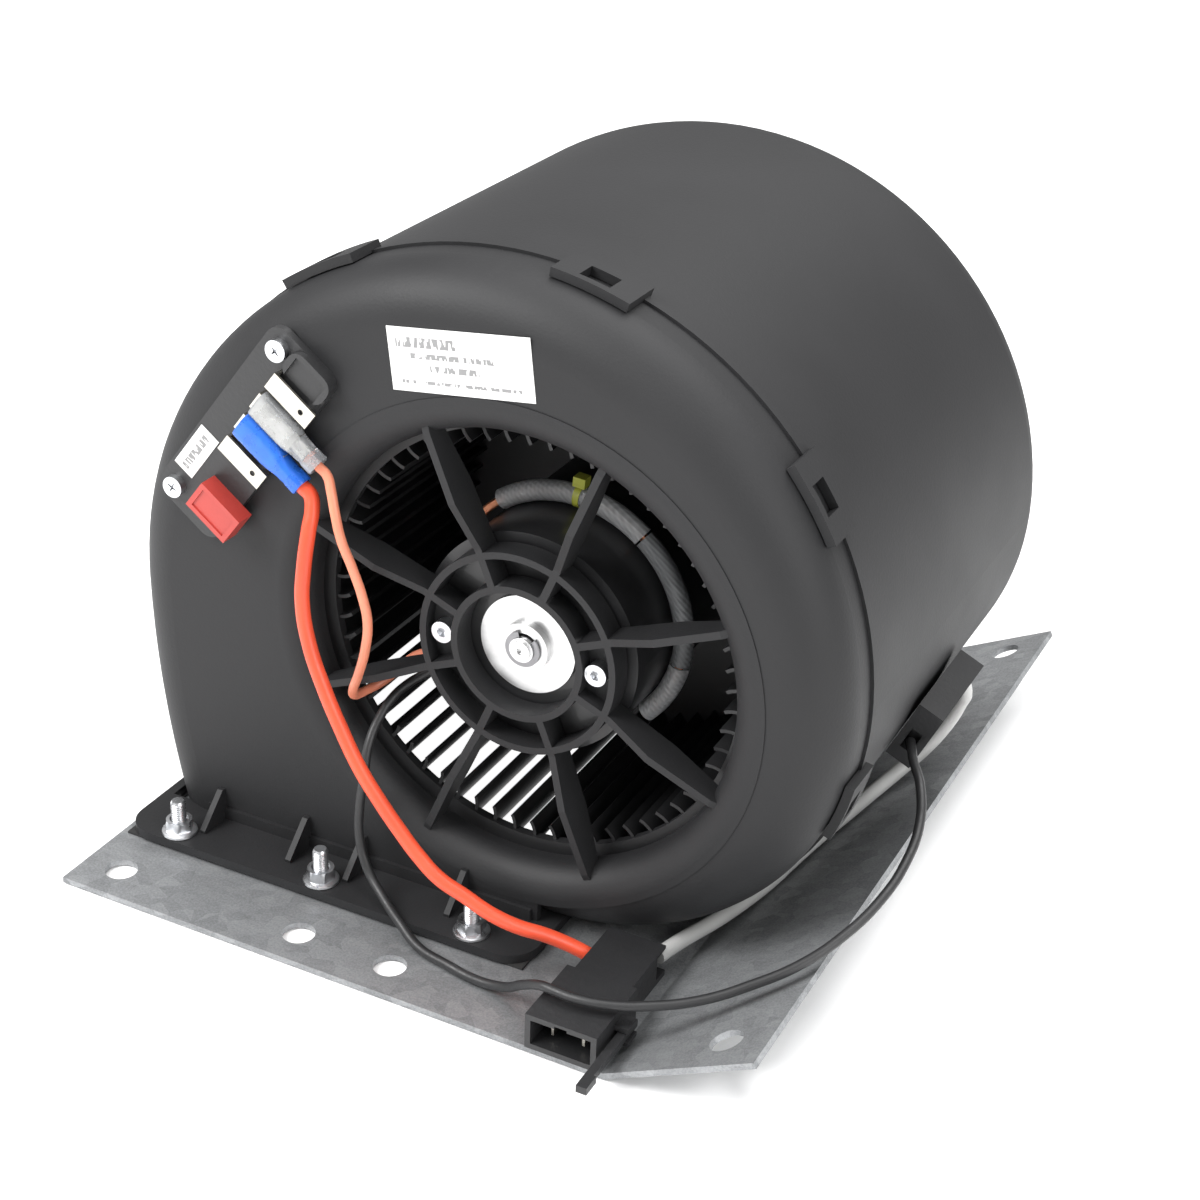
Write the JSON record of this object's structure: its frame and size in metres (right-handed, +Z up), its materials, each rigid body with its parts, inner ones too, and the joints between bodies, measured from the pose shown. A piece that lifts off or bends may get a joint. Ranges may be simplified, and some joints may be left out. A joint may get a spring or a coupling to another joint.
{
  "type": "direct-current centrifugal blower fan",
  "caption": "Double-inlet centrifugal blower in a black spiral housing on a folded steel plate, with motor spider, resistor card and leads",
  "frame": {"origin": "on the mounting plate's underside, straight below the wheel's axis, in the plane of the housing's front face", "axes": "+Z up out of the plate's underside, +Y along the wheel's axis from the front face into the housing, +X to the right seen from the front"},
  "size_m": [0.2575, 0.297, 0.2124],
  "materials": {
    "housing_plastic": "moulded, fine satin grain",
    "gasket_rubber": "closed-cell strip",
    "zinc_plate": "galvanised sheet with faint spangle",
    "zinc_fastener": "bright zinc plate",
    "motor_black": "black enamel",
    "bright_steel": "turned",
    "spring_steel": "blued",
    "core_steel": "laminated",
    "copper": "enamelled copper",
    "ferrite": "sintered",
    "phenolic": "pressed board",
    "carbon": "pressed carbon",
    "sleeve_white": "woven insulating sleeve",
    "sleeve_grey": "shrunk sleeve",
    "tie_green": "moulded",
    "wheel_plastic": "moulded",
    "card_plastic": "moulded",
    "resistor_wire": "wound wire",
    "tin": "tinned",
    "fuse_red": "moulded",
    "paper_white": "blank label",
    "sleeve_blue": "translucent",
    "sleeve_clear": "translucent",
    "lead_red": "extruded",
    "lead_pink": "extruded",
    "lead_black": "extruded",
    "lead_grey": "extruded",
    "connector_black": "moulded"
  },
  "bodies": {
    "housing": {"front_cover": "housing_plastic", "scroll_body": "housing_plastic", "flange_gasket": "gasket_rubber", "base_plate": "zinc_plate", "flange_studs": "zinc_fastener", "flange_nuts": "zinc_fastener", "motor_can": "motor_black", "motor_end_shield": "motor_black", "motor_nose_cap": "bright_steel", "motor_screws": "zinc_fastener", "front_bearing": "bright_steel", "rear_bearing": "bright_steel", "field_magnets": "ferrite", "brush_plate": "phenolic", "brush_springs": "spring_steel", "can_lead_sleeve": "sleeve_white", "can_lead_shrink": "sleeve_grey", "can_lead": "copper", "sleeve_tie": "tie_green", "resistor_card": "card_plastic", "resistor_coils": "resistor_wire", "card_terminals": "tin", "card_screws": "zinc_fastener", "thermal_fuse": "fuse_red", "card_label": "paper_white", "rating_label": "paper_white", "blue_sleeve": "sleeve_blue", "clear_sleeve": "sleeve_clear", "blue_receptacle": "tin", "clear_receptacle": "tin", "supply_lead": "lead_red", "motor_lead": "lead_pink", "twin_lead": "lead_black", "return_lead": "lead_grey", "connector_housing": "connector_black", "connector_terminals": "tin", "side_connector": "connector_black"},
    "rotor": {"motor_shaft": "bright_steel", "shaft_circlip": "spring_steel", "armature_core": "core_steel", "armature_windings": "copper", "commutator": "copper", "wheel_front_cage": "wheel_plastic", "wheel_rear_cage": "wheel_plastic", "wheel_hub": "bright_steel", "hub_clip": "spring_steel"},
    "left_brush": {"left_brush": "carbon"},
    "right_brush": {"right_brush": "carbon"},
    "latch": {"connector_latch": "connector_black"}
  },
  "joints": [
    {"name": "rotor_spin", "type": "hinge", "parent": "housing", "child": "rotor", "pos_m": [0, 0.06, 0.094], "axis": [0, 1, 0], "continuous": true},
    {"name": "left_brush_slide", "type": "slide", "parent": "housing", "child": "left_brush", "axis": [-1, 0, 0], "range_m": [0, 0.0002], "stiffness_N_per_m": 100, "springref_m": -0.005},
    {"name": "right_brush_slide", "type": "slide", "parent": "housing", "child": "right_brush", "axis": [1, 0, 0], "range_m": [0, 0.0002], "stiffness_N_per_m": 100, "springref_m": -0.005},
    {"name": "latch_tilt", "type": "hinge", "parent": "housing", "child": "latch", "pos_m": [0.0611, -0.036, 0.008], "axis": [0, 0, 1], "range_deg": [0, 4], "stiffness_Nm_per_rad": 0.05, "springref_deg": -2.86}
  ]
}
